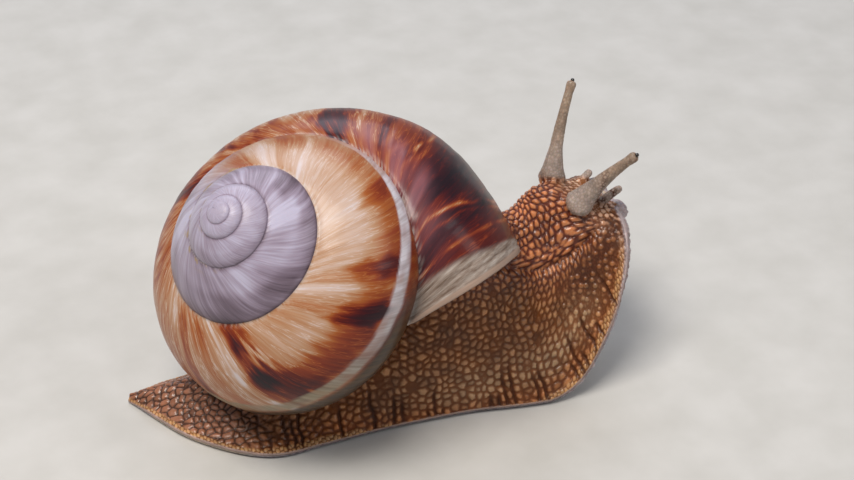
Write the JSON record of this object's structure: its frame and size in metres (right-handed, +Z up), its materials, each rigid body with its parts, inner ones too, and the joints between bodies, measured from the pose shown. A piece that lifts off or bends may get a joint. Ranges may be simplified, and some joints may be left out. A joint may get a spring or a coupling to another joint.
{
  "type": "land snail",
  "caption": "Life-size land snail with a domed, right-handed spiral shell, crawling with its neck and head raised and its feelers out, as a still display model.",
  "frame": {"origin": "on the floor, under the middle of the snail's outline seen from above", "axes": "+X is the way the snail crawls, +Y its left side, +Z up from the floor"},
  "size_m": [0.0668, 0.0414, 0.0393],
  "materials": {
    "shell": "glossy lime shell: brown and orange streaks along the growth lines, one pale band, grey-violet tip",
    "skin": "wet amber-brown skin with pebbled tubercles and darker furrows",
    "mantle": "wet, almost black mantle edge",
    "feeler": "wet, finely granular grey-brown skin",
    "eye": "glossy black"
  },
  "bodies": {
    "root": {"shell": "shell", "mantle_collar": "mantle", "tail": "skin", "foot_rear": "skin", "foot_middle": "skin", "foot_front": "skin", "neck": "skin", "head": "skin", "mouth_lobe_left": "skin", "mouth_lobe_right": "skin", "upper_tentacle_left_base": "feeler", "upper_tentacle_left": "feeler", "upper_tentacle_right_base": "feeler", "upper_tentacle_right": "feeler", "lower_tentacle_left": "feeler", "lower_tentacle_right": "feeler", "eye_left": "eye", "eye_right": "eye"}
  },
  "joints": []
}
